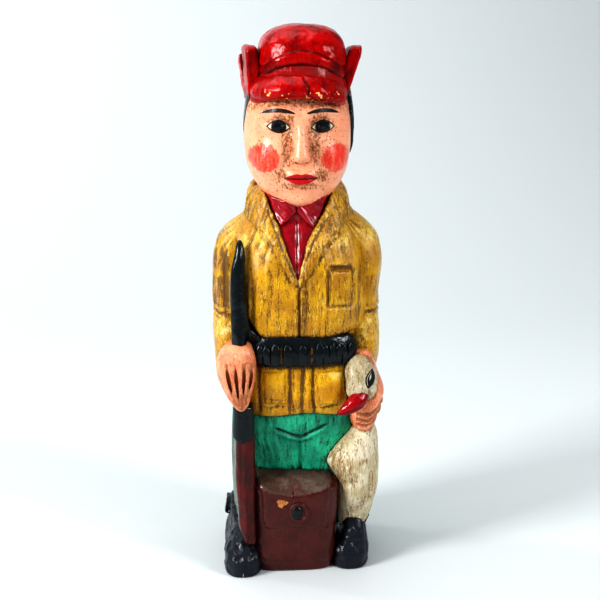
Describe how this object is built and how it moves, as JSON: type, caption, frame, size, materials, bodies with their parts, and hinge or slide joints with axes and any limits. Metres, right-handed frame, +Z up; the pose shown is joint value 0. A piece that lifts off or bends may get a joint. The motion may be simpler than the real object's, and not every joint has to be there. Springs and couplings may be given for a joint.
{
  "type": "carved wooden figurine",
  "caption": "Painted wood carving of a standing hunter in a cap and jacket, with a rifle, a goose and a game bag; a free-standing shelf ornament with a flat underside.",
  "frame": {"origin": "on the surface that the figure stands on, below the middle of its bounding box", "axes": "+Z up the standing figure; -Y is the way the figure faces; +X is the figure's own left, where it holds the goose"},
  "size_m": [0.1272, 0.1092, 0.4],
  "materials": {
    "skin_paint": "oil paint the colour of skin on carved wood, satin, darkened in the cuts",
    "black_paint": "gloss black paint on carved wood",
    "cap_red_paint": "gloss scarlet enamel on carved wood, chipped on the edges",
    "shirt_red_paint": "gloss crimson enamel on carved wood",
    "jacket_yellow_paint": "ochre yellow paint with an umber stain in the gouge marks, varnished",
    "brown_paint": "gloss oxblood paint on carved wood",
    "goose_white_paint": "cream paint with a brown stain in the gouge marks",
    "beak_red_paint": "gloss red enamel on carved wood",
    "trouser_green_paint": "emerald green paint with a dark stain in the gouge marks, varnished"
  },
  "bodies": {
    "root": {"bag_body": "brown_paint", "bag_button": "black_paint", "bag_clasp": "brown_paint", "bag_flap": "brown_paint", "belt": "black_paint", "belt_cartridges": "black_paint", "boot_left": "black_paint", "boot_right": "black_paint", "cap_band": "cap_red_paint", "cap_base": "cap_red_paint", "cap_crown": "cap_red_paint", "cap_visor": "cap_red_paint", "chest_pocket": "jacket_yellow_paint", "collar": "jacket_yellow_paint", "ear_flap_left": "cap_red_paint", "ear_flap_right": "cap_red_paint", "goose_beak": "beak_red_paint", "goose_body": "goose_white_paint", "goose_head": "goose_white_paint", "hair": "black_paint", "hand_left": "skin_paint", "hand_right": "skin_paint", "head": "skin_paint", "jacket_placket": "jacket_yellow_paint", "jacket_skirt": "jacket_yellow_paint", "jacket_torso": "jacket_yellow_paint", "neck_flap": "cap_red_paint", "rifle_barrel": "black_paint", "rifle_receiver": "black_paint", "rifle_stock": "brown_paint", "shirt": "shirt_red_paint", "shirt_collar": "shirt_red_paint", "skirt_pockets": "jacket_yellow_paint", "sleeve_left": "jacket_yellow_paint", "sleeve_right": "jacket_yellow_paint", "trousers": "trouser_green_paint"}
  },
  "joints": []
}
